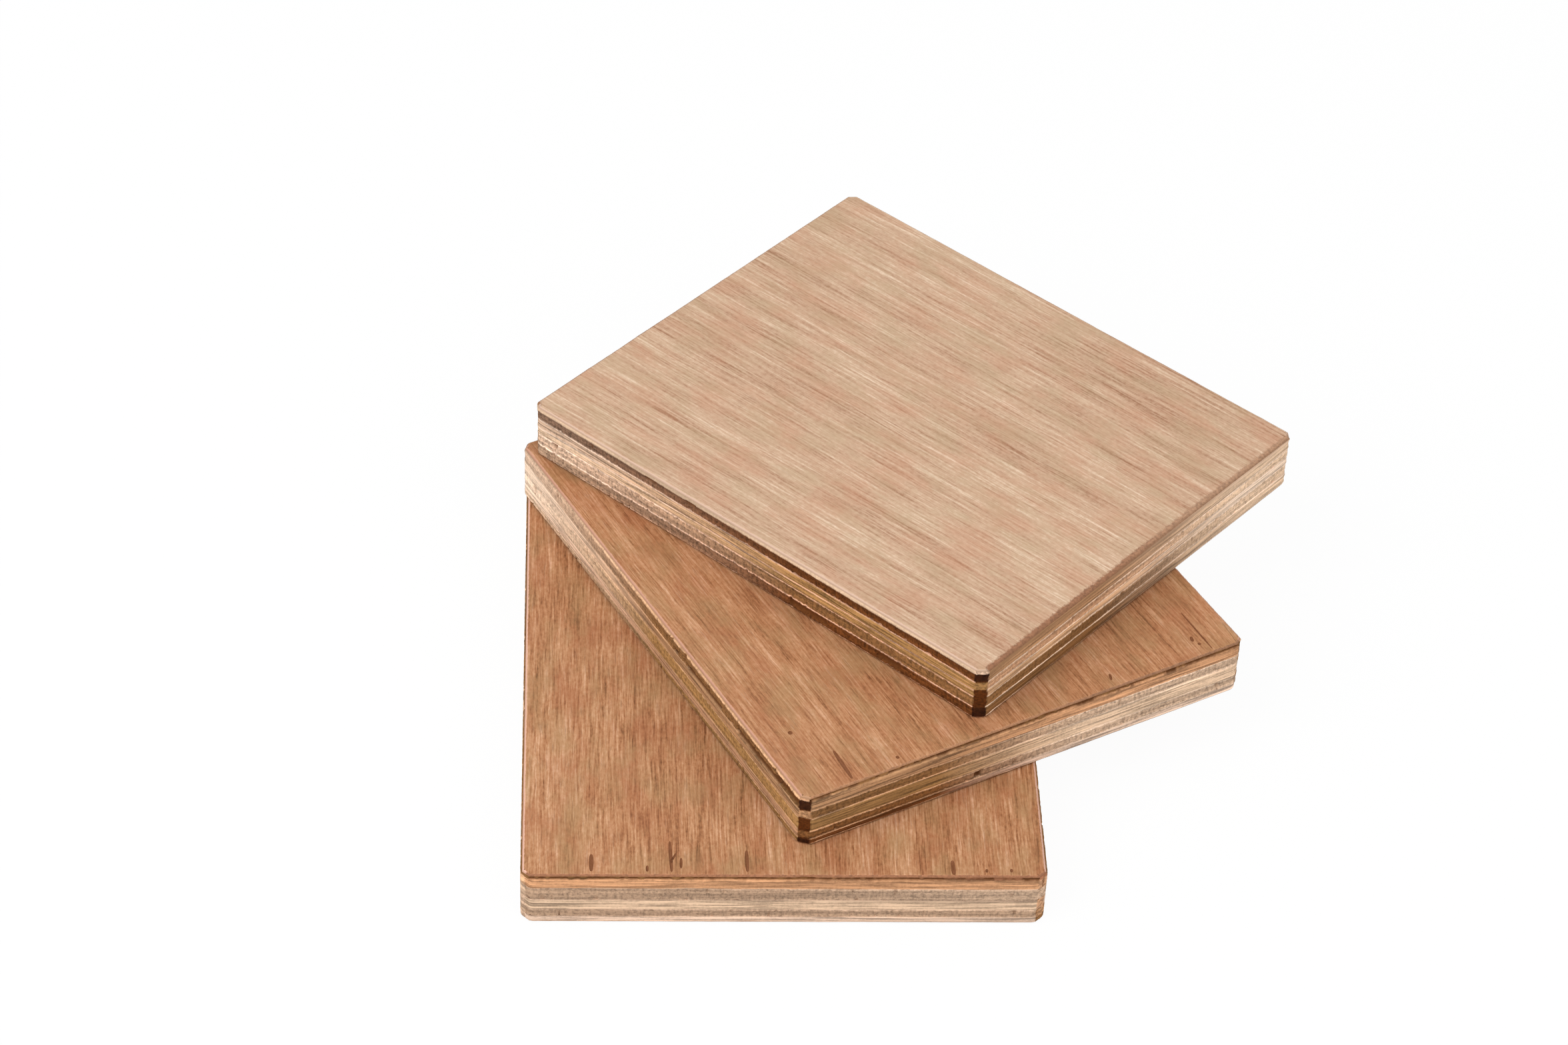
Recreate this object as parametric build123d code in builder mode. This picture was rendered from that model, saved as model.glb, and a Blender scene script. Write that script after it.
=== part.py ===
"""Three sawn panels of seven-ply plywood, lying fanned out on one another. Millimetres.

+Z is up and the floor is at Z = 0. The bottom panel lies square to X and Y, with its face
grain along Y. The origin is on the floor, in the middle of the whole stack's outline.
"""

import os
from math import cos, radians, sin

from build123d import *

# One panel. Its length runs along the grain of its two face veneers.
panel_width = 145.0
panel_length = 172.0
panel_thickness = 18.0

# The trimming of a pressed panel: its four upright corners are clipped, and the arrises
# round its face are eased more than those round its back.
corner_cut = 2.3
face_ease = 1.2
back_ease = 0.7

# The two thin face veneers. The five core plies between them share what is left.
face_veneer = 0.6
back_veneer = 0.6
core_thickness = panel_thickness - face_veneer - back_veneer

# How the core divides into its plies, from the top down. Peeled core veneer varies, so
# each panel has its own shares.
bottom_core_shares = (0.25, 0.255, 0.22, 0.155, 0.12)
middle_core_shares = (0.255, 0.185, 0.275, 0.17, 0.115)
top_core_shares = (0.225, 0.18, 0.15, 0.225, 0.22)

# The plies from the top down. The grain turns a quarter from each ply to the next.
core_names = (
    "upper_crossband",
    "upper_long_core",
    "centre_core",
    "lower_long_core",
    "lower_crossband",
)

# Where each panel's centre lies from the bottom panel's centre, and how far it is turned.
middle_slide_x = 29.5
middle_slide_y = 34.5
middle_turn = 27.4
top_slide_x = 41.3
top_slide_y = 68.4
top_turn = 47.0

# Name, slide along X and Y, turn in degrees, and core shares, from the floor up.
panels = (
    ("bottom_sheet", 0, 0, 0, bottom_core_shares),
    ("middle_sheet", middle_slide_x, middle_slide_y, middle_turn, middle_core_shares),
    ("top_sheet", top_slide_x, top_slide_y, top_turn, top_core_shares),
)


def reach(turn):
    """Returns how far a turned panel reaches from its own centre, along X and along Y."""
    half_width, half_length = panel_width / 2, panel_length / 2
    corners = (
        (half_width, half_length - corner_cut),
        (half_width - corner_cut, half_length),
    )
    across, along = abs(sin(radians(turn))), abs(cos(radians(turn)))
    reach_x = max(x * along + y * across for x, y in corners)
    reach_y = max(x * across + y * along for x, y in corners)
    return reach_x, reach_y


def stack_middle():
    """Returns the middle of the stack's outline, seen from the bottom panel's centre."""
    lows_x, highs_x, lows_y, highs_y = [], [], [], []
    for _, slide_x, slide_y, turn, _ in panels:
        reach_x, reach_y = reach(turn)
        lows_x.append(slide_x - reach_x)
        highs_x.append(slide_x + reach_x)
        lows_y.append(slide_y - reach_y)
        highs_y.append(slide_y + reach_y)
    return (min(lows_x) + max(highs_x)) / 2, (min(lows_y) + max(highs_y)) / 2


def plies_from_below(core_shares):
    """Returns each ply's name and thickness, in the order in which they lie."""
    downwards = [("face_veneer", face_veneer)]
    for name, share in zip(core_names, core_shares):
        downwards.append((name, share * core_thickness / sum(core_shares)))
    downwards.append(("back_veneer", back_veneer))
    return reversed(downwards)


os.makedirs("parts", exist_ok=True)
middle_x, middle_y = stack_middle()

for level, (panel_name, slide_x, slide_y, turn, core_shares) in enumerate(panels):
    bed = Plane(
        origin=(slide_x - middle_x, slide_y - middle_y, level * panel_thickness),
        x_dir=(cos(radians(turn)), sin(radians(turn)), 0),
        z_dir=(0, 0, 1),
    )

    # The outer form that the saw and the sanding block leave, which every ply shares.
    with BuildPart() as trimmed_panel:
        with BuildSketch(bed) as outline:
            Rectangle(panel_width, panel_length)
            chamfer(outline.vertices(), length=corner_cut)
        extrude(amount=panel_thickness)
        back, face = trimmed_panel.faces().filter_by(Plane.XY).sort_by(Axis.Z)
        chamfer(face.edges(), length=face_ease)
        chamfer(back.edges(), length=back_ease)

    # Each ply is a sheet of veneer in its own layer, cut to that outer form.
    height = 0
    for ply_name, thickness in plies_from_below(core_shares):
        with BuildPart() as ply:
            with BuildSketch(bed.offset(height)):
                Rectangle(panel_width, panel_length)
            extrude(amount=thickness)
            add(trimmed_panel.part, mode=Mode.INTERSECT)
        name = f"{panel_name}_{ply_name}"
        ply.part.label = name
        export_step(ply.part, f"parts/{name}.step")
        height += thickness
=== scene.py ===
"""The looks of three plywood panels that lie fanned out on one another.

Each ply of each panel is a sheet of peeled veneer with sawn edges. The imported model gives
where every ply lies. Sizes in the classes are millimetres; meshes are made in metres.
A panel's own directions are X across the grain of its faces and Y along it.
"""

import logging
import math
from dataclasses import dataclass, field
from enum import Enum

import bmesh
import bpy
from mathutils import Matrix, Vector, noise

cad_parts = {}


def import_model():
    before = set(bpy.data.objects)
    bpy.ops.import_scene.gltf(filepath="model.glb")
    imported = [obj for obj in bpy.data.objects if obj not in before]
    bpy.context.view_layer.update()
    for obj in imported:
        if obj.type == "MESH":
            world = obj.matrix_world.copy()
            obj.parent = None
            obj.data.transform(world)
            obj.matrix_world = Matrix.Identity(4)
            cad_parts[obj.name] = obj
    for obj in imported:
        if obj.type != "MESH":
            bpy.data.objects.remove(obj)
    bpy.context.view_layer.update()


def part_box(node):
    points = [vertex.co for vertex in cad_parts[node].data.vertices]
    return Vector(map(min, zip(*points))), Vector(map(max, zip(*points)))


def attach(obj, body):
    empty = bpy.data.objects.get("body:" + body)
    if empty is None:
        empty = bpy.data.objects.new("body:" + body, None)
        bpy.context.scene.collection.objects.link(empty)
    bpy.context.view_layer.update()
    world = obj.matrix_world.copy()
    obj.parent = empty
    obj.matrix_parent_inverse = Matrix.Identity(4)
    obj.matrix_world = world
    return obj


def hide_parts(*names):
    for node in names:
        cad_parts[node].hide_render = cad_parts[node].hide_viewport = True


LOG = logging.getLogger("plywood")
MM = 0.001
CORNER = "corner"

# Bare wood: sawn fibres hold back most of the sheen that a sanded face has.
WOOD_IOR = 1.5
SAWN_ROUGHNESS, SAWN_SHEEN = 0.82, 0.08
SPLIT_ROUGHNESS = 0.85
SANDED_ROUGHNESS, SANDED_SHEEN = 0.62, 0.25

Tree = bpy.types.NodeTree
Socket = bpy.types.NodeSocket


class Tone(Enum):
    """The colours of sawn veneer, as sRGB hex."""

    MILK = "EED3BD"
    IVORY = "E2C6AD"
    SHELL = "D6B8A1"
    CREAM = "CFB093"
    PALE = "C3A48B"
    GREY = "B5987F"
    DRAB = "A98B72"
    BLUSH = "DDAF92"
    PEACH = "D0A37D"
    ORANGE = "C4916A"
    HONEY = "C59B75"
    TAN = "B58A69"
    CLAY = "A67D5A"
    RUST = "966448"
    MUSTARD = "A27A4C"
    OLIVE = "8C6840"
    COCOA = "825C38"
    BROWN = "744D2B"
    SHADE = "7B5F4C"
    UMBER = "643A1B"
    BARK = "4A2409"
    SOOT = "2A1206"


def linear(code: str, alpha: float = 1.0) -> tuple[float, float, float, float]:
    """Turns an sRGB hex colour to a linear one.

    Args:
        code: Six hex digits.
        alpha: The colour's alpha.

    Returns:
        Linear red, green and blue, and the alpha.
    """
    parts = [int(code[i : i + 2], 16) / 255 for i in (0, 2, 4)]
    red, green, blue = [c / 12.92 if c <= 0.04045 else ((c + 0.055) / 1.055) ** 2.4 for c in parts]
    return red, green, blue, alpha


def add_node(
    tree: Tree, kind: str, sockets: dict | None = None, stops: tuple | list = (), **settings: str
) -> bpy.types.Node:
    """Adds one shader node with its settings and links.

    Args:
        tree: The node tree.
        kind: The node's type, without its leading "ShaderNode".
        sockets: For an input's name or number, either a value or the output to link.
        stops: A colour ramp's stops, as pairs of position and linear colour.
        **settings: The node's own properties.

    Returns:
        The node.
    """
    node = tree.nodes.new("ShaderNode" + kind)
    for name, value in settings.items():
        setattr(node, name, value)
    for key, value in (sockets or {}).items():
        if isinstance(value, bpy.types.NodeSocket):
            tree.links.new(value, node.inputs[key])
        else:
            node.inputs[key].default_value = value
    for number, (position, colour) in enumerate(stops):
        elements = node.color_ramp.elements
        stop = elements[number] if number < 2 else elements.new(position)
        stop.position, stop.color = position, colour
    return node


def remap(
    tree: Tree, value: Socket, low: float, high: float, to_low: float = 0.0, to_high: float = 1.0
) -> Socket:
    """Adds a clamped map range node and returns its output."""
    return add_node(tree, "MapRange", {0: value, 1: low, 2: high, 3: to_low, 4: to_high}).outputs[0]


def blend(tree: Tree, share: Socket, first: Socket | tuple, second: Socket | tuple) -> Socket:
    """Adds a colour mix node and returns its output."""
    return add_node(tree, "Mix", {0: share, 6: first, 7: second}, data_type="RGBA").outputs[2]


def scale(tree: Tree, vector: Socket | tuple, size: Socket) -> Socket:
    """Adds a vector scale node and returns its output."""
    return add_node(tree, "VectorMath", {0: vector, "Scale": size}, operation="SCALE").outputs[0]


def fibres(
    tree: Tree, vector: Socket, size: tuple[float, float, float], start: float, detail: float = 3.0
) -> Socket:
    """Adds a noise whose blots have the given size.

    Args:
        tree: The node tree.
        vector: The panel's own coordinates.
        size: The length of a blot along each direction.
        start: Where in the noise it starts, so that no two patterns are alike.
        detail: How many finer layers it has.

    Returns:
        The noise's value.
    """
    frequency = tuple(1 / length for length in size)
    sockets = {"Vector": vector, "Location": (start, start, start), "Scale": frequency}
    scaled = add_node(tree, "Mapping", sockets).outputs[0]
    return add_node(
        tree, "TexNoise", {"Vector": scaled, "Scale": 1.0, "Detail": detail, "Roughness": 0.6}
    ).outputs[0]


@dataclass(frozen=True)
class Plies:
    """The tones of one end of a sawn side, or of a clipped corner: one for each core veneer.

    Attributes:
        rim: The topmost millimetre, where the face's arris is.
        glue: The thin line at each joint, where the saw cuts the hard glue clean.
        upper_crossband: The first core ply, and so on down to the lowest.
    """

    rim: Tone
    glue: Tone
    upper_crossband: Tone
    upper_long_core: Tone
    centre_core: Tone
    lower_long_core: Tone
    lower_crossband: Tone


@dataclass(frozen=True)
class SideLook:
    """What one pair of a panel's sawn sides shows.

    Attributes:
        near: The tones at the end by the front left corner: the wood's own tones, made darker there by
            painted shade.
        far: The tones at the other end, where that painted shade gives way.
        turn: Where the one gives way to the other, as two shares of the side's length.
        stippled: The plies whose fibres are cut across there.
        contrast: How far the grain darkens and lightens the tones.
        level: How light the whole side is, a painted shade factor that stands in for how much light falls
            on that side.
    """

    near: Plies
    far: Plies
    turn: tuple[float, float]
    stippled: tuple[str, ...]
    contrast: float = 0.3
    level: float = 1.0


@dataclass(frozen=True)
class FaceLook:
    """The face veneer: hardwood, peeled, sanded and left bare.

    Peeled hardwood gives fine straight fibre streaks, soft blots of colour and short pores.

    Attributes:
        dark: The streaks' darkest colour, and so on up to glint, their lightest.
        pore: The pores' colour.
        warm_blot: The redder blots' colour.
        cool_blot: The greener blots' colour.
        pore_strength: How far the pores show.
        blot_strength: How far the blots show.
        near_bevel: The eased arris's colour at the ends of the grain, by the left side.
        far_bevel: The same by the right side.
        long_bevel: The eased arris's colour along the grain.
        streak: The length of a streak.
        thread: The length of a fine fibre.
    """

    dark: str = "7A4E2F"
    middle: str = "AC764F"
    light: str = "C08D66"
    glint: str = "DDAD8B"
    pore: str = "572F18"
    warm_blot: str = "A16240"
    cool_blot: str = "A28259"
    pore_strength: float = 0.38
    blot_strength: float = 0.45
    near_bevel: str = "9C694B"
    far_bevel: str = "9C694B"
    long_bevel: str = "C4937B"
    streak: float = 34.0
    thread: float = 12.0


@dataclass(frozen=True)
class Hollow:
    """A gap or a torn place in one ply at a sawn side.

    Attributes:
        ply: The ply's name.
        side: "left", "right", "front" or "back".
        along: Where its middle lies along the side.
        length: Its length along the side.
        share: How far down the ply its middle lies, as a share of the thickness.
        height: Its height.
        reach: How far it goes in.
    """

    ply: str
    side: str
    along: float
    length: float
    share: float
    height: float
    reach: float


@dataclass(frozen=True)
class Split:
    """A short split or nick along the fibres of a face veneer.

    Attributes:
        across: The X of its middle.
        along: The Y of its nearer end.
        length: Its length.
        lean: How many degrees it leans from the grain.
        width: Its width.
        depth: Its depth.
    """

    across: float
    along: float
    length: float
    lean: float
    width: float
    depth: float


SIDES = {"left": (-1, 0), "right": (1, 0), "front": (0, -1), "back": (0, 1)}


@dataclass
class Panel:
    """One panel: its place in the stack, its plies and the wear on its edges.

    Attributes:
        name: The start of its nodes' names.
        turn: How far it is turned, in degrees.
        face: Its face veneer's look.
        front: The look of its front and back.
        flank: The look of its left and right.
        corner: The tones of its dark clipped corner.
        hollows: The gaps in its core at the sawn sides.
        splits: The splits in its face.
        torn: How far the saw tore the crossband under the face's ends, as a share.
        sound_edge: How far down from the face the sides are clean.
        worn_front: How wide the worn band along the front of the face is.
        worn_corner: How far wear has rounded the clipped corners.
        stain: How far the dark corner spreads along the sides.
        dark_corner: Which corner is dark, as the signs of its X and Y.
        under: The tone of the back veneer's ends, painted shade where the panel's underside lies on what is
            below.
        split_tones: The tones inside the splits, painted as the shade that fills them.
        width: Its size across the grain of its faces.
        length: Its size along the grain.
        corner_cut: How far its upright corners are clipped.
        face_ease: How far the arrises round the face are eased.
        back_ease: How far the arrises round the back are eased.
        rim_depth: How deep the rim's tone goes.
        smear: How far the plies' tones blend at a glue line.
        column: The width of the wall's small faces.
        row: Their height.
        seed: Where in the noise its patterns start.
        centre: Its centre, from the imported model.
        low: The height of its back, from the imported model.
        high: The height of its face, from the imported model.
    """

    name: str
    turn: float
    face: FaceLook
    front: SideLook
    flank: SideLook
    corner: Plies
    hollows: tuple[Hollow, ...] = ()
    splits: tuple[Split, ...] = ()
    torn: float = 1.0
    sound_edge: float = 0.0
    worn_front: float = 0.0
    worn_corner: float = 0.3
    stain: float = 0.25
    dark_corner: tuple[int, int] = (-1, -1)
    under: Tone = Tone.UMBER
    split_tones: tuple[Tone, Tone] = (Tone.RUST, Tone.UMBER)
    width: float = 145.0
    length: float = 172.0
    corner_cut: float = 2.3
    face_ease: float = 1.2
    back_ease: float = 0.7
    rim_depth: float = 1.1
    smear: float = 0.4
    column: float = 0.5
    row: float = 0.42
    seed: float = 0.0
    centre: Vector = field(init=False)
    low: float = field(init=False)
    high: float = field(init=False)

    def __post_init__(self) -> None:
        """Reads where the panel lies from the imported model."""
        bottom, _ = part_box(f"{self.name}_back_veneer")
        lowest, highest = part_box(f"{self.name}_centre_core")
        _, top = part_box(f"{self.name}_face_veneer")
        self.centre = (lowest + highest) / 2 / MM
        self.low, self.high = bottom.z / MM, top.z / MM

    @property
    def thickness(self) -> float:
        """The panel's thickness."""
        return self.high - self.low

    def place(self) -> Matrix:
        """Returns the matrix from the panel's own millimetres to the frame's metres."""
        shift = Matrix.Translation((self.centre.x * MM, self.centre.y * MM, self.high * MM))
        return shift @ Matrix.Rotation(math.radians(self.turn), 4, "Z") @ Matrix.Scale(MM, 4)

    def own_coordinates(self, tree: Tree) -> Socket:
        """Adds the nodes that give the panel's own millimetres, with Z at 0 on its face."""
        turn = Matrix.Rotation(math.radians(-self.turn), 4, "Z")
        offset = -(turn @ Vector((self.centre.x, self.centre.y, self.high)))
        raw = add_node(tree, "TexCoord").outputs["Object"]
        return add_node(
            tree,
            "Mapping",
            {
                "Vector": raw,
                "Location": offset,
                "Rotation": (0, 0, math.radians(-self.turn)),
                "Scale": (1 / MM,) * 3,
            },
        ).outputs[0]

    def ply_span(self, ply: str) -> tuple[float, float]:
        """Returns how far below the panel's face a ply's upper and lower faces lie."""
        lowest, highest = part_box(f"{self.name}_{ply}")
        return self.high - highest.z / MM, self.high - lowest.z / MM

    # Meshes

    def outline(self, bm: bmesh.types.BMesh) -> list:
        """Makes the panel's outline as a closed line of short edges.

        Args:
            bm: The bmesh to make it in.

        Returns:
            The edges.
        """
        made = bmesh.ops.create_grid(bm, x_segments=1, y_segments=1, size=0.5)
        bmesh.ops.scale(bm, vec=(self.width, self.length, 1), verts=made["verts"])
        bmesh.ops.bevel(
            bm,
            geom=bm.verts[:],
            offset=self.corner_cut,
            affect="VERTICES",
            segments=1,
            profile=0.5,
            material=-1,
        )
        bmesh.ops.delete(bm, geom=bm.faces[:], context="FACES_ONLY")
        for edge in bm.edges[:]:
            cuts = round(edge.calc_length() / self.column) - 1
            bmesh.ops.subdivide_edges(bm, edges=[edge], cuts=cuts)
        return bm.edges[:]

    def outward(self, bm: bmesh.types.BMesh) -> dict:
        """Finds the way out at each point of the outline.

        Args:
            bm: The bmesh that holds the outline.

        Returns:
            For each point's key, the way out, stretched where two sides meet at a mitre.
        """
        ways = {}
        for vert in bm.verts:
            normals = []
            for edge in vert.link_edges:
                along = (edge.verts[1].co - edge.verts[0].co).normalized()
                normal = Vector((along.y, -along.x, 0))
                normals.append(normal if normal.dot(vert.co) > 0 else -normal)
            half = (normals[0] + normals[1]).normalized()
            ways[self.key(vert.co)] = half / max(half.dot(normals[0]), 0.5)
        return ways

    @staticmethod
    def key(point: Vector) -> tuple[float, float]:
        """Returns a point's place on the outline, rounded, to look it up by."""
        return round(point.x, 3), round(point.y, 3)

    def on_side(self, point: Vector, side: str) -> bool:
        """Tells whether a point of the outline lies on the named side."""
        way = SIDES[side]
        reach = way[0] * point.x - self.width / 2 if way[0] else way[1] * point.y - self.length / 2
        return abs(reach) < 0.05

    def wander(self, point: Vector, depth: float) -> float:
        """Returns how far a glue line leaves its level at a point of the outline."""
        if depth < 0.3 or depth > self.thickness - 0.3:
            return 0.0
        spot = Vector((point.x / 9, point.y / 9, depth + self.seed))
        fine = Vector((point.x / 1.7, point.y / 1.7, depth + self.seed + 7))
        return 0.1 * noise.noise(spot) + 0.05 * noise.noise(fine)

    def hollow_depth(self, ply: str, point: Vector, share: float, thickness: float) -> float:
        """Returns how deep a gap in the ply is at a point of the outline.

        Args:
            ply: The ply's name.
            point: The point.
            share: How far down the ply, as a share of its thickness.
            thickness: The ply's thickness.

        Returns:
            The gap's depth, which is 0 where there is none.
        """
        depth = 0.0
        for hollow in self.hollows:
            if hollow.ply != ply or not self.on_side(point, hollow.side):
                continue
            along = point.y if hollow.side in ("left", "right") else point.x
            ragged = noise.noise(Vector((point.x / 1.3, point.y / 1.3, share * 3 + self.seed)))
            reach_along = abs(along - hollow.along) / (hollow.length / 2)
            reach_down = abs(share - hollow.share) * thickness / (hollow.height / 2)
            inside = 1.0 - max(reach_along**4, reach_down**2) + 0.3 * ragged
            depth = max(depth, hollow.reach * min(1.0, max(0.0, inside * 1.8)))
        return depth

    def tear(self, ply: str, point: Vector, depth: float) -> float:
        """Returns how far the saw tore the crossband out under the face veneer's ends."""
        if ply != "upper_crossband" or not (self.on_side(point, "front") or self.on_side(point, "back")):
            return 0.0
        ragged = noise.noise(Vector((point.x / 1.6, point.y / 1.6, self.seed)))
        broad = noise.noise(Vector((point.x / 11, point.y / 11, self.seed + 5)))
        reach = max(0.15, 0.85 + 1.1 * ragged + 0.8 * broad)
        window = max(0.0, 1.0 - abs(depth - 1.15) / (0.3 + 0.45 * reach))
        return self.torn * reach * window

    def relief(self, ply: str, point: Vector, depth: float, share: float, thickness: float) -> float:
        """Returns how far the wall lies inside the sawn plane, leaving out the eased arris.

        Args:
            ply: The ply's name.
            point: The point of the outline.
            depth: How far it lies below the panel's face.
            share: How far down the ply, as a share of its thickness.
            thickness: The ply's thickness.

        Returns:
            The distance.
        """
        x, y = point.x, point.y
        saw = 0.03 * (1 + noise.noise(Vector((x / 0.9, y / 0.9, depth / 14 + self.seed))))
        on_flank = self.width / 2 - abs(x) < self.length / 2 - abs(y)
        if ply in (self.flank if on_flank else self.front).stippled:
            fuzz = 0.09 * (1 + noise.noise(Vector((x / 0.7, y / 0.7, depth / 1.1))))
            checks = max(0.0, noise.noise(Vector((x / 1.2, y / 1.2, depth / 3.0 + 31))) - 0.3) * 1.2
            rough = fuzz + checks
        else:
            threads = 0.07 * (1 + noise.noise(Vector((x / 16, y / 16, depth * 2.1))))
            splits = max(0.0, noise.noise(Vector((x / 12, y / 12, depth * 1.7 + 57))) - 0.4) * 1.3
            rough = threads + splits
        rough *= min(1.0, max(0.1, (depth - self.sound_edge) / 0.4)) if depth < self.thickness / 2 else 1.0
        seam = 0.08 * max(0.0, 1 - min(share, 1 - share) * thickness / 0.2)
        hollow = self.hollow_depth(ply, point, share, thickness)
        return saw + rough + seam + self.tear(ply, point, depth) + hollow

    def ease(self, point: Vector, depth: float) -> float:
        """Returns how far the eased arrises and the worn front take the wall in."""
        roundness = 1.25
        if depth < self.thickness / 2:
            if self.worn_front and self.on_side(point, "front"):
                band = self.worn_front * (1 - 0.2 * (2 * point.x / self.width) ** 2)
                return band * max(0.0, 1 - depth / 0.3) + 0.35 * max(0.0, 1 - depth / 0.9)
            size, away_from = self.face_ease, depth
        else:
            size, away_from = self.back_ease, self.thickness - depth
        away = max(0.0, (size - away_from) / size)
        return size * (1 - max(0.0, 1 - away**roundness) ** (1 / roundness))

    def off_corner(self, point: Vector) -> float:
        """Returns how far a point of the outline lies from the nearest clipped corner."""
        return max(0.0, self.width / 2 - abs(point.x) + self.length / 2 - abs(point.y) - self.corner_cut)

    def stained(self, point: Vector, depth: float) -> float:
        """Returns how much of the dark clipped corner a point shows, from 0 to 1."""
        if point.x * self.dark_corner[0] < 0 or point.y * self.dark_corner[1] < 0:
            return 0.0
        fray = 0.4 * noise.noise(Vector((point.x / 2, point.y / 2, depth / 1.2 + self.seed + 3)))
        return min(1.0, max(0.0, (self.stain + fray - self.off_corner(point)) / 0.4 + 0.5))

    def round_corner(self, point: Vector, depth: float) -> float:
        """Returns how far wear has rounded the clipped corners, below the face's arris."""
        off = self.off_corner(point)
        ragged = noise.noise(Vector((point.x, point.y, depth / 1.5 + self.seed)))
        deep = min(1.0, max(0.0, depth - 0.8) / 0.8)
        return self.worn_corner * deep * (1 + 0.5 * ragged) * math.exp(-((off / 0.8) ** 2))

    def steps(self, thickness: float) -> list[float]:
        """Returns the heights of a ply's rows of faces, with a narrow one beside each glue line."""
        rim = min(0.16, thickness / 4)
        rows = max(1, round((thickness - 2 * rim) / self.row))
        return [rim] + [(thickness - 2 * rim) / rows] * rows + [rim]

    def ply_mesh(self, ply: str) -> bmesh.types.BMesh:
        """Makes one ply as a closed slab whose wall carries the wear of the saw.

        Args:
            ply: The ply's name.

        Returns:
            The bmesh, in the frame's metres.
        """
        upper, lower = self.ply_span(ply)
        thickness = lower - upper
        bm = bmesh.new()
        loop = self.outline(bm)
        ways = self.outward(bm)
        first = loop
        for step in self.steps(thickness):
            made = bmesh.ops.extrude_edge_only(bm, edges=loop)["geom"]
            verts = {v for v in made if isinstance(v, bmesh.types.BMVert)}
            bmesh.ops.translate(bm, vec=(0, 0, -step), verts=list(verts))
            loop = [e for e in made if isinstance(e, bmesh.types.BMEdge) and set(e.verts) <= verts]
        corner = bm.verts.layers.float.new(CORNER)
        for vert in bm.verts:
            share = -vert.co.z / thickness
            point = Vector((vert.co.x, vert.co.y, 0))
            depth = upper + share * thickness
            bend = self.wander(point, upper) * (1 - share) + self.wander(point, lower) * share
            vert[corner] = self.stained(point, depth)
            inset = self.relief(ply, point, depth, share, thickness) + self.ease(point, depth)
            inset += self.round_corner(point, depth)
            way = ways[self.key(point)]
            vert.co = Vector((point.x, point.y, -depth - bend)) - way * inset
        walls = bm.faces[:]
        for edges in (first, loop):
            cap = bmesh.ops.contextual_create(bm, geom=edges)["faces"]
            for edge in edges:
                edge.smooth = False
            for face in cap:
                face.smooth = False
        for face in walls:
            face.smooth = True
        bmesh.ops.recalc_face_normals(bm, faces=bm.faces[:])
        bm.transform(self.place())
        return bm

    def split_cutters(self) -> bmesh.types.BMesh:
        """Makes a slender lens for each split, half sunk in the panel's face."""
        bm = bmesh.new()
        for split in self.splits:
            lens = bmesh.ops.create_uvsphere(bm, u_segments=16, v_segments=8, radius=0.5)["verts"]
            for vert in lens:
                vert.co.x = math.copysign(0.5 * abs(2 * vert.co.x) ** 0.6, vert.co.x)
            bmesh.ops.scale(bm, vec=(split.width, split.length, 2 * split.depth), verts=lens)
            turn = Matrix.Rotation(math.radians(split.lean), 3, "Z")
            bmesh.ops.rotate(bm, matrix=turn, verts=lens)
            bmesh.ops.translate(bm, vec=(split.across, split.along + split.length / 2, 0), verts=lens)
        bm.transform(self.place())
        return bm

    def cut_splits(self, piece: bpy.types.Object) -> None:
        """Cuts the splits into the face veneer and paints shade inside them.

        Args:
            piece: The face veneer.
        """
        mesh = bpy.data.meshes.new(f"{self.name}_splits")
        bm = self.split_cutters()
        bm.to_mesh(mesh)
        bm.free()
        dark = bpy.data.materials.new(f"split_{self.name}")
        dark.use_nodes = True
        tree = dark.node_tree
        tree.nodes.clear()
        own = self.own_coordinates(tree)
        fuzz = fibres(tree, own, (0.5, 2.0, 0.5), self.seed)
        # Painted shade: the splits' insides are dark rust and umber.
        colour = blend(tree, fuzz, *(linear(tone.value) for tone in self.split_tones))
        bump = add_node(tree, "Bump", {"Height": fuzz, "Strength": 0.3, "Distance": 0.1 * MM}).outputs[0]
        self.close_material(tree, colour, bump, SPLIT_ROUGHNESS, SAWN_SHEEN)
        mesh.materials.append(dark)
        cutter = bpy.data.objects.new(f"{self.name}_splits", mesh)
        bpy.context.scene.collection.objects.link(cutter)
        cut = piece.modifiers.new("splits", "BOOLEAN")
        cut.operation, cut.solver, cut.material_mode = "DIFFERENCE", "EXACT", "TRANSFER"
        cut.object, cut.use_self = cutter, True
        shaped = piece.evaluated_get(bpy.context.evaluated_depsgraph_get())
        whole = piece.data
        piece.data = bpy.data.meshes.new_from_object(shaped)
        piece.modifiers.clear()
        bpy.data.meshes.remove(whole)
        bpy.data.objects.remove(cutter)

    # Finishes

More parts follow.
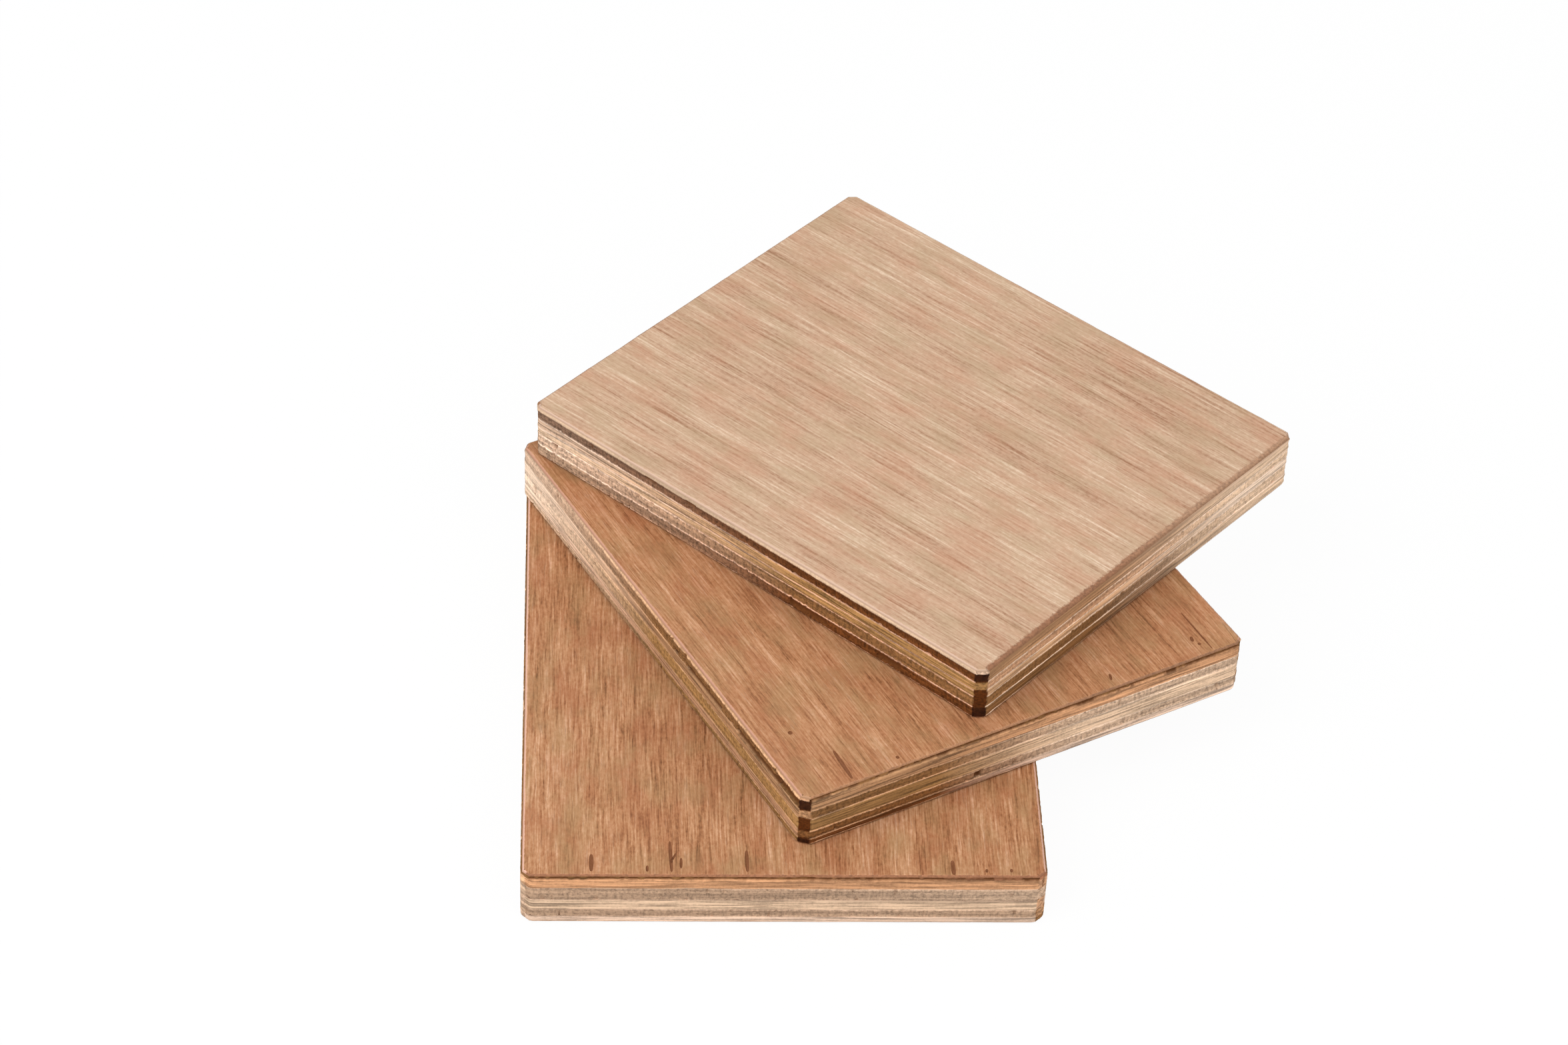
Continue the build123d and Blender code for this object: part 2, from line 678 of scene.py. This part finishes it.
    def sides(self, tree: Tree, own: Socket) -> tuple[Socket, Socket, Socket, Socket]:
        """Adds the nodes that tell the panel's sides and corners apart.

        Args:
            tree: The node tree.
            own: The panel's own coordinates.

        Returns:
            A mask that is 1 on the front and back, a mask that is 1 on the clipped corners, how
            far along the side a point lies, as a share from the front or the left, and how far
            inside the sawn planes it lies.
        """
        parts = add_node(tree, "SeparateXYZ", {0: own})
        gaps, shares = [], []
        for axis, half in ((0, self.width / 2), (1, self.length / 2)):
            size = add_node(tree, "Math", {0: parts.outputs[axis]}, operation="ABSOLUTE").outputs[0]
            gaps.append(add_node(tree, "Math", {0: half, 1: size}, operation="SUBTRACT").outputs[0])
            shares.append(remap(tree, parts.outputs[axis], -half, half))
        lead = add_node(tree, "Math", {0: gaps[0], 1: gaps[1]}, operation="SUBTRACT").outputs[0]
        ends = remap(tree, lead, -0.3, 0.3)
        near = add_node(tree, "Math", {0: gaps[0], 1: gaps[1]}, operation="MINIMUM").outputs[0]
        total = add_node(tree, "Math", {0: gaps[0], 1: gaps[1]}, operation="ADD").outputs[0]
        clip = remap(tree, total, self.corner_cut, self.corner_cut + 3 * math.sqrt(2), 0.0, 3.0)
        near = add_node(tree, "Math", {0: near, 1: clip}, operation="MINIMUM").outputs[0]
        corner = remap(tree, add_node(tree, "Attribute", attribute_name=CORNER).outputs["Fac"], 0.05, 0.8)
        along = add_node(tree, "Mix", {0: ends, 2: shares[1], 3: shares[0]}, data_type="FLOAT").outputs[0]
        return ends, corner, along, near

    def ply_ramp(self, tree: Tree, level: Socket, tones: Plies) -> Socket:
        """Adds the ramp of the plies' tones from the face down to the back.

        Args:
            tree: The node tree.
            level: How far down the panel a point lies, as a share.
            tones: The tones.

        Returns:
            The ramp's colour.
        """
        depths = [(0.0, tones.rim), (self.rim_depth, tones.rim)]
        for ply in CORES:
            upper, lower = self.ply_span(ply)
            upper = max(upper, self.rim_depth)
            tone = getattr(tones, ply)
            depths += [(upper + self.smear, tone), (lower - self.smear, tone), (lower, tones.glue)]
        stops = [(depth / self.thickness, linear(tone.value)) for depth, tone in depths]
        return add_node(tree, "ValToRGB", {0: level}, stops=stops).outputs[0]

    def side_colour(self, tree: Tree, level: Socket, along: Socket, look: SideLook) -> Socket:
        """Adds the ramps of a side's two ends and the blend between them."""
        near, far = (self.ply_ramp(tree, level, tones) for tones in (look.near, look.far))
        # The near-to-far blend carries the wood's own drift and painted shade that darkens the sides by the
        # front left corner.
        return blend(tree, remap(tree, along, *look.turn), near, far)

    def edge_material(self, ply: str) -> bpy.types.Material:
        """Makes the finish of a core ply: peeled hardwood veneer, sawn and left bare.

        Fibres along the edge give level streaks. Fibres cut across give dark stipple, with
        small upright checks. The saw leaves thin lighter and darker lines at the glue.

        Args:
            ply: The ply's name.

        Returns:
            The material.
        """
        material = bpy.data.materials.new(f"sawn_{self.name}_{ply}")
        material.use_nodes = True
        tree = material.node_tree
        tree.nodes.clear()
        own = self.own_coordinates(tree)
        ends, corner, along, near = self.sides(tree, own)
        height = add_node(tree, "SeparateXYZ", {0: own}).outputs[2]
        sway = remap(tree, fibres(tree, own, (13, 13, 6), self.seed), 0.3, 0.7, -0.16, 0.16)
        jitter = remap(tree, fibres(tree, own, (1.1, 1.1, 2), self.seed + 9), 0.3, 0.7, -0.1, 0.1)
        moved = add_node(tree, "Math", {0: height, 1: sway}, operation="ADD").outputs[0]
        moved = add_node(tree, "Math", {0: moved, 1: jitter}, operation="ADD").outputs[0]
        level = remap(tree, moved, 0.0, -self.thickness)
        threads = remap(tree, fibres(tree, own, (18, 18, 0.6), self.seed + 17, 4.0), 0.38, 0.6)
        checks = remap(tree, fibres(tree, own, (0.85, 0.85, 3.0), self.seed + 29, 3.0), 0.34, 0.6)
        specks = remap(tree, fibres(tree, own, (1.0, 1.0, 0.75), self.seed + 41, 4.0), 0.32, 0.62)
        layers = remap(tree, fibres(tree, own, (60, 60, 1.0), self.seed + 53), 0.36, 0.62, 0.74, 1.2)
        edge = -max(0.6, self.sound_edge)
        sound = remap(tree, moved, edge - 0.3, edge + 0.1, 1.0, 0.25)
        shown = []
        for look in (self.flank, self.front):
            base = self.side_colour(tree, level, along, look)
            across = ply in look.stippled
            weave = add_node(
                tree, "Mix", {0: 0.6 if across else 0.12, 2: threads, 3: checks}, data_type="FLOAT"
            ).outputs[0]
            weave = add_node(
                tree, "Mix", {0: 0.5 if across else 0.2, 2: weave, 3: specks}, data_type="FLOAT"
            ).outputs[0]
            # look.level scales the whole side as painted shade for how much light falls on it.
            dark, light = look.level * (1 - look.contrast * 1.2), look.level * (1 + look.contrast)
            weave = add_node(tree, "Mix", {0: sound, 2: 0.5, 3: weave}, data_type="FLOAT").outputs[0]
            shade = remap(tree, weave, 0.2, 0.8, dark, light)
            shown.append(scale(tree, scale(tree, base, shade), layers))
        colour = blend(tree, ends, shown[0], shown[1])
        worn = remap(tree, specks, 0.2, 0.9, 0.7, 1.5)
        dirt = scale(tree, self.ply_ramp(tree, level, self.corner), worn)
        colour = blend(tree, corner, colour, dirt)
        # Painted shade in gaps and torn places: the farther the wall lies inside the sawn plane, the more
        # it turns umber.
        deep = remap(tree, near, 0.35, 1.0, 0.0, 0.9)
        colour = blend(tree, deep, colour, linear(Tone.UMBER.value))
        bump = add_node(tree, "Bump", {"Height": specks, "Strength": 0.35, "Distance": 0.2 * MM}).outputs[0]
        self.close_material(tree, colour, bump, SAWN_ROUGHNESS, SAWN_SHEEN)
        return material

    @staticmethod
    def close_material(tree: Tree, colour: Socket, normal: Socket, roughness: float, sheen: float) -> None:
        """Adds bare wood's shader and the output.

        Args:
            tree: The node tree.
            colour: The wood's colour.
            normal: The bumped normal.
            roughness: The wood's roughness.
            sheen: Its specular level.
        """
        sockets = {"Base Color": colour, "Normal": normal, "Roughness": roughness}
        shader = add_node(tree, "BsdfPrincipled", {**sockets, "IOR": WOOD_IOR, "Specular IOR Level": sheen})
        add_node(tree, "OutputMaterial", {"Surface": shader.outputs[0]})

    def face_material(self, ply: str) -> bpy.types.Material:
        """Makes the finish of a face veneer, with its grain along the panel's own Y.

        Args:
            ply: The veneer's name.

        Returns:
            The material.
        """
        look = self.face
        material = bpy.data.materials.new(f"sanded_{self.name}_{ply}")
        material.use_nodes = True
        tree = material.node_tree
        tree.nodes.clear()
        own = self.own_coordinates(tree)
        ends, corner, along, _ = self.sides(tree, own)
        drift = remap(tree, fibres(tree, own, (40, 120, 40), self.seed + 3), 0.3, 0.7, -0.6, 0.6)
        offset = add_node(tree, "CombineXYZ", {0: drift}).outputs[0]
        bent = add_node(tree, "VectorMath", {0: own, 1: offset}, operation="ADD").outputs[0]
        broad = fibres(tree, bent, (7, 110, 7), self.seed + 11)
        middle = fibres(tree, bent, (1.6, look.streak, 1.6), self.seed + 23)
        fine = fibres(tree, bent, (0.6, look.thread, 0.6), self.seed + 37, 4.0)
        mottle = fibres(tree, bent, (0.8, 1.6, 0.8), self.seed + 43)
        mixed = add_node(tree, "Mix", {0: 0.55, 2: broad, 3: middle}, data_type="FLOAT").outputs[0]
        mixed = add_node(tree, "Mix", {0: 0.45, 2: mixed, 3: fine}, data_type="FLOAT").outputs[0]
        mixed = add_node(tree, "Mix", {0: 0.18, 2: mixed, 3: mottle}, data_type="FLOAT").outputs[0]
        stops = [
            (0.39, linear(look.dark)),
            (0.47, linear(look.middle)),
            (0.54, linear(look.light)),
            (0.63, linear(look.glint)),
        ]
        colour = add_node(tree, "ValToRGB", {0: mixed}, stops=stops).outputs[0]
        for start, tone in ((51, look.warm_blot), (67, look.cool_blot)):
            blot = fibres(tree, bent, (9, 19, 9), self.seed + start, 4.0)
            strength = remap(tree, blot, 0.46, 0.66, 0.0, look.blot_strength)
            colour = blend(tree, strength, colour, linear(tone))
        pores = fibres(tree, bent, (0.42, 7.5, 0.42), self.seed + 71, 2.0)
        dots = remap(tree, pores, 0.54, 0.72, 0.0, look.pore_strength)
        colour = blend(tree, dots, colour, linear(look.pore))
        height = add_node(tree, "SeparateXYZ", {0: own}).outputs[2]
        rough_end = fibres(tree, own, (0.9, 0.9, 0.5), self.seed + 5, 4.0)
        rough_end = remap(tree, rough_end, 0.35, 0.62, 0.75, 1.2)
        share = remap(tree, along, 0.4, 0.65)
        end_tone = blend(tree, share, linear(look.near_bevel), linear(look.far_bevel))
        long_tone, cap = linear(look.long_bevel), 0.0
        # Painted shade under the panel: the back veneer's arrises take the under tone at the ends and brown
        # along the sides.
        if ply == "back_veneer":
            end_tone, long_tone = linear(self.under.value)[:3], linear(Tone.BROWN.value)
            cap = -self.thickness
        bevel = blend(tree, ends, long_tone, scale(tree, end_tone, rough_end))
        bevel = blend(tree, corner, bevel, linear(self.corner.rim.value))
        away = add_node(tree, "Math", {0: height, 1: cap}, operation="SUBTRACT").outputs[0]
        away = add_node(tree, "Math", {0: away}, operation="ABSOLUTE").outputs[0]
        bevel = blend(tree, remap(tree, away, 0.24, 0.4, 0.0, 0.35), bevel, linear(Tone.BROWN.value))
        ragged = remap(tree, fibres(tree, own, (0.9, 0.9, 0.9), self.seed + 13), 0.35, 0.65, 0.0, 0.07)
        away = add_node(tree, "Math", {0: away, 1: ragged}, operation="SUBTRACT").outputs[0]
        colour = blend(tree, remap(tree, away, 0.02, 0.1), colour, bevel)
        relief = add_node(tree, "Math", {0: fine, 1: dots}, operation="SUBTRACT").outputs[0]
        bump = add_node(tree, "Bump", {"Height": relief, "Strength": 0.3, "Distance": 0.1 * MM}).outputs[0]
        self.close_material(tree, colour, bump, SANDED_ROUGHNESS, SANDED_SHEEN)
        return material

    # Assembly

    def build(self) -> list[bpy.types.Object]:
        """Makes the panel's seven plies, dresses them and puts them on the frame."""
        pieces = []
        for ply, slot in PLY_SLOTS.items():
            bm = self.ply_mesh(ply)
            name = f"{self.name}_{ply}_sawn"
            mesh = bpy.data.meshes.new(name)
            bm.to_mesh(mesh)
            bm.free()
            piece = bpy.data.objects.new(name, mesh)
            bpy.context.scene.collection.objects.link(piece)
            veneer = ply in ("face_veneer", "back_veneer")
            mesh.materials.append(self.face_material(ply) if veneer else self.edge_material(ply))
            if ply == "face_veneer" and self.splits:
                self.cut_splits(piece)
            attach(piece, "root")
            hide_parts(f"{self.name}_{ply}")
            if ply == "face_veneer" and self.name == "top_sheet":
                slot = "pale_face_veneer"
            LOG.info("%s: %d faces", name, len(piece.data.polygons))
            pieces.append(piece)
        return pieces


PLY_SLOTS = {
    "face_veneer": "face_veneer",
    "upper_crossband": "crossband",
    "upper_long_core": "long_core",
    "centre_core": "centre_core",
    "lower_long_core": "long_core",
    "lower_crossband": "crossband",
    "back_veneer": "back_veneer",
}


@dataclass
class Studio:
    """A white table, plain soft light and the camera.

    Attributes:
        focus: The point that the camera looks at.
        heading: How far the camera stands to the left of the front, in degrees.
        elevation: How far it looks down, in degrees.
        roll: How far it leans, in degrees.
        distance: How far it stands from the focus.
        lens: Its focal length.
        table_size: The table's size, in metres.
        table_drop: How far the table lies below the stack, in metres, so that they don't meet.
        glow: How much of the table the camera sees as plain white, as a share.
        aim: The height that the lamps face, in metres.
    """

    focus: Vector
    heading: float = 3.49
    elevation: float = 40.555
    roll: float = 2.655
    distance: float = 1412.8
    lens: float = 106.79
    table_size: float = 8.0
    table_drop: float = 0.0002
    glow: float = 0.95
    aim: float = 0.03

    def camera(self) -> bpy.types.Object:
        """Makes the camera at the photograph's viewing angle."""
        data = bpy.data.cameras.new("studio_camera")
        data.sensor_width = 36.0
        data.lens = self.lens
        data.clip_start, data.clip_end = 0.05, 50.0
        camera = bpy.data.objects.new("studio_camera", data)
        bpy.context.scene.collection.objects.link(camera)
        tilt = Matrix.Rotation(math.radians(90 - self.elevation), 3, "X")
        spin = Matrix.Rotation(math.radians(-self.heading), 3, "Z")
        lean = Matrix.Rotation(math.radians(self.roll), 3, "Z")
        turn = spin @ tilt @ lean
        sight = turn @ Vector((0, 0, 1))
        place = self.focus * MM + sight * self.distance * MM
        camera.matrix_world = Matrix.Translation(place) @ turn.to_4x4()
        bpy.context.scene.camera = camera
        return camera

    def table(self) -> bpy.types.Object:
        """Makes the white table, which keeps a faint shadow of the stack."""
        bm = bmesh.new()
        bmesh.ops.create_grid(bm, x_segments=1, y_segments=1, size=self.table_size / 2)
        mesh = bpy.data.meshes.new("table")
        bm.to_mesh(mesh)
        bm.free()
        table = bpy.data.objects.new("table", mesh)
        table.location.z = -self.table_drop
        bpy.context.scene.collection.objects.link(table)
        material = bpy.data.materials.new("white_table")
        material.use_nodes = True
        tree = material.node_tree
        tree.nodes.clear()
        matt = add_node(tree, "BsdfDiffuse", {"Color": (0.92, 0.92, 0.92, 1)}).outputs[0]
        glow = add_node(tree, "Emission", {"Color": (1, 1, 1, 1), "Strength": 1.0}).outputs[0]
        seen = add_node(tree, "LightPath").outputs["Is Camera Ray"]
        part = add_node(tree, "Math", {0: seen, 1: self.glow}, operation="MULTIPLY").outputs[0]
        both = add_node(tree, "MixShader", {0: part, 1: matt, 2: glow}).outputs[0]
        add_node(tree, "OutputMaterial", {"Surface": both})
        mesh.materials.append(material)
        return table

    def light(self) -> None:
        """Makes the soft light from above and the white surroundings."""
        world = bpy.data.worlds.new("studio")
        bpy.context.scene.world = world
        world.use_nodes = True
        tree = world.node_tree
        tree.nodes.clear()
        path = add_node(tree, "LightPath").outputs
        seen = path["Is Camera Ray"]
        for ray in ("Is Glossy Ray", "Is Transmission Ray"):
            seen = add_node(tree, "Math", {0: seen, 1: path[ray]}, operation="MAXIMUM").outputs[0]
        around = add_node(tree, "Background", {"Color": (1, 1, 1, 1), "Strength": 0.7}).outputs[0]
        white = add_node(tree, "Background", {"Color": (1, 1, 1, 1), "Strength": 1.0}).outputs[0]
        both = add_node(tree, "MixShader", {0: seen, 1: around, 2: white}).outputs[0]
        add_node(tree, "OutputWorld", {"Surface": both})
        self.softbox("key", (-0.95, -0.7, 1.15), 1.2, 15.0)
        self.softbox("fill", (0.9, -0.9, 0.9), 1.0, 5.0)

    def softbox(
        self, name: str, place: tuple[float, float, float], size: float, watts: float
    ) -> bpy.types.Object:
        """Makes one square lamp that faces the stack.

        Args:
            name: The lamp's name.
            place: Where it hangs, in metres.
            size: The length of its side, in metres.
            watts: Its power.

        Returns:
            The lamp.
        """
        data = bpy.data.lights.new(name, "AREA")
        data.shape, data.size, data.energy = "SQUARE", size, watts
        lamp = bpy.data.objects.new(name, data)
        bpy.context.scene.collection.objects.link(lamp)
        sight = Vector((0, 0, self.aim)) - Vector(place)
        lamp.matrix_world = Matrix.Translation(place) @ sight.to_track_quat("-Z", "Y").to_matrix().to_4x4()
        return lamp


CORES = ("upper_crossband", "upper_long_core", "centre_core", "lower_long_core", "lower_crossband")
FRONT_STIPPLE = ("upper_long_core", "lower_long_core")
FLANK_STIPPLE = ("upper_crossband", "centre_core", "lower_crossband")


def bottom_panel() -> Panel:
    """Returns the panel that lies on the table, with orange and cream plies and grey ones."""
    front = SideLook(
        near=Plies(Tone.COCOA, Tone.PALE, Tone.ORANGE, Tone.DRAB, Tone.CREAM, Tone.DRAB, Tone.SHELL),
        far=Plies(Tone.RUST, Tone.PALE, Tone.ORANGE, Tone.GREY, Tone.CREAM, Tone.DRAB, Tone.SHELL),
        turn=(0.5, 0.9),
        stippled=FRONT_STIPPLE,
        # Painted shade: the front is dimmed as a whole.
        level=0.9,
    )
    flank_tones = Plies(Tone.COCOA, Tone.PALE, Tone.PEACH, Tone.GREY, Tone.PALE, Tone.GREY, Tone.PALE)
    flank = SideLook(flank_tones, flank_tones, (0.0, 1.0), FLANK_STIPPLE)
    corner = Plies(Tone.RUST, Tone.TAN, Tone.TAN, Tone.GREY, Tone.TAN, Tone.CLAY, Tone.COCOA)
    splits = (
        Split(-53.0, -84.0, 6.8, 0.0, 1.25, 0.25),
        Split(-37.7, -84.0, 2.4, -1.0, 0.79, 0.25),
        Split(-31.2, -84.2, 12.2, 2.0, 1.0, 0.25),
        Split(-30.4, -80.4, 4.0, -24.0, 0.64, 0.25),
        Split(-28.4, -82.7, 4.1, -1.0, 0.79, 0.25),
        Split(-10.3, -84.0, 8.4, 1.0, 1.15, 0.25),
        Split(46.3, -85.0, 5.8, 2.0, 1.25, 0.25),
        Split(55.5, -83.9, 1.3, -4.0, 0.79, 0.25),
        Split(62.3, -83.8, 1.3, -4.0, 0.79, 0.25),
    )
    return Panel(
        "bottom_sheet",
        0.0,
        FaceLook(dark="734728", light="C3916A", glint="E3B594", long_bevel="DDAE98"),
        front,
        flank,
        corner,
        splits=splits,
        dark_corner=(1, -1),
        under=Tone.TAN,
        seed=3.0,
    )


def middle_panel() -> Panel:
    """Returns the panel in the middle, whose sides are brown by the front left corner, in their own tones
    and in painted shade.
    """
    front = SideLook(
        near=Plies(Tone.COCOA, Tone.PEACH, Tone.CLAY, Tone.COCOA, Tone.OLIVE, Tone.BROWN, Tone.UMBER),
        far=Plies(Tone.COCOA, Tone.IVORY, Tone.ORANGE, Tone.GREY, Tone.CREAM, Tone.GREY, Tone.SHELL),
        turn=(0.3, 0.62),
        stippled=FRONT_STIPPLE,
        contrast=0.36,
    )
    flank = SideLook(
        near=Plies(Tone.PEACH, Tone.HONEY, Tone.COCOA, Tone.CLAY, Tone.MUSTARD, Tone.TAN, Tone.OLIVE),
        far=Plies(Tone.PALE, Tone.IVORY, Tone.PALE, Tone.IVORY, Tone.IVORY, Tone.IVORY, Tone.CREAM),
        turn=(0.5, 0.97),
        stippled=FLANK_STIPPLE,
        # Painted shade: the left and right sides are dimmed as a whole.
        level=0.96,
    )
    corner = Plies(Tone.TAN, Tone.BARK, Tone.SOOT, Tone.CLAY, Tone.BARK, Tone.BROWN, Tone.SOOT)
    hollows = (
        Hollow("upper_crossband", "left", -29.0, 20.5, 0.92, 2.4, 3.5),
        Hollow("upper_crossband", "left", -60.6, 25.0, 0.9, 2.8, 3.5),
        Hollow("upper_crossband", "left", -12.1, 2.4, 0.84, 2.0, 1.6),
        Hollow("upper_crossband", "left", -77.0, 12.0, 0.55, 2.4, 1.6),
        Hollow("upper_long_core", "left", -29.0, 19.0, 0.0, 1.0, 2.5),
        Hollow("upper_long_core", "left", -60.6, 23.5, 0.0, 1.2, 2.5),
        Hollow("lower_long_core", "front", -16.0, 1.8, 0.45, 2.2, 1.8),
        Hollow("upper_crossband", "front", -28.0, 3.0, 0.1, 1.6, 1.0),
        Hollow("upper_crossband", "front", -36.0, 1.6, 0.1, 1.2, 0.8),
        Hollow("upper_crossband", "front", 19.7, 3.6, 0.15, 1.8, 1.2),
        Hollow("upper_crossband", "front", 47.5, 3.0, 0.12, 1.6, 1.0),
    )
    splits = (
        Split(-55.5, -84.0, 12.4, -4.0, 1.15, 0.25),
        Split(-40.6, -82.8, 1.2, 0.0, 0.96, 0.25),
        Split(-62.2, -60.8, 1.4, 0.0, 1.29, 0.22),
        Split(29.6, -82.4, 2.6, -19.0, 0.79, 0.25),
        Split(58.9, -79.2, 2.2, -17.0, 0.96, 0.25),
        Split(59.7, -81.3, 1.0, 0.0, 0.96, 0.25),
        Split(62.1, -84.4, 17.4, -1.0, 0.56, 0.18),
    )
    return Panel(
        "middle_sheet",
        27.4,
        FaceLook(near_bevel="AA7A58", far_bevel="946A4E"),
        front,
        flank,
        corner,
        hollows,
        splits,
        stain=0.4,
        seed=29.0,
    )


def top_panel() -> Panel:
    """Returns the panel on top, whose face is paler and whose front left corner is darkest, from a dark
    stain and painted shade.
    """
    face = FaceLook(
        dark="996E50",
        middle="C09B7F",
        light="CFAF92",
        glint="EDD3B9",
        pore="875E44",
        warm_blot="C28C6E",
        cool_blot="B59D7B",
        pore_strength=0.3,
        blot_strength=0.4,
        near_bevel="94684C",
        far_bevel="AA8468",
        long_bevel="CFAF99",
        streak=60.0,
        thread=22.0,
    )
    front = SideLook(
        near=Plies(Tone.CLAY, Tone.IVORY, Tone.CLAY, Tone.TAN, Tone.HONEY, Tone.COCOA, Tone.COCOA),
        far=Plies(Tone.PALE, Tone.MILK, Tone.CREAM, Tone.CREAM, Tone.IVORY, Tone.CREAM, Tone.CREAM),
        turn=(0.35, 0.8),
        stippled=FRONT_STIPPLE,
        contrast=0.28,
    )
    flank = SideLook(
        near=Plies(Tone.CREAM, Tone.BLUSH, Tone.UMBER, Tone.MUSTARD, Tone.MUSTARD, Tone.COCOA, Tone.UMBER),
        far=Plies(Tone.CREAM, Tone.MILK, Tone.SHADE, Tone.PALE, Tone.CREAM, Tone.PALE, Tone.DRAB),
        turn=(0.4, 0.9),
        stippled=("upper_crossband", "lower_long_core", "lower_crossband"),
        contrast=0.42,
    )
    corner = Plies(Tone.PALE, Tone.BARK, Tone.SOOT, Tone.OLIVE, Tone.BARK, Tone.BARK, Tone.SOOT)
    hollows = (
        Hollow("lower_crossband", "left", -22.6, 15.0, 0.5, 2.2, 0.8),
        Hollow("lower_crossband", "left", -52.5, 9.5, 0.5, 2.2, 0.8),
        Hollow("upper_crossband", "left", 38.5, 5.0, 0.38, 1.5, 0.6),
        Hollow("upper_crossband", "left", 23.0, 4.0, 0.38, 1.5, 0.6),
    )
    return Panel(
        "top_sheet",
        47.0,
        face,
        front,
        flank,
        corner,
        hollows,
        torn=0.12,
        sound_edge=1.7,
        worn_front=2.4,
        stain=0.6,
        seed=61.0,
    )


def main() -> None:
    """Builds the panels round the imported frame, then the studio."""
    logging.basicConfig(level=logging.INFO)
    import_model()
    panels = (bottom_panel(), middle_panel(), top_panel())
    for panel in panels:
        panel.build()
    bottom = panels[0].centre
    studio = Studio(Vector((bottom.x + 5.54, bottom.y + 84.09, 0.0)))
    studio.table()
    studio.light()
    studio.camera()
    scene = bpy.context.scene
    scene.view_settings.view_transform = "Standard"


if __name__ == "__main__":
    main()
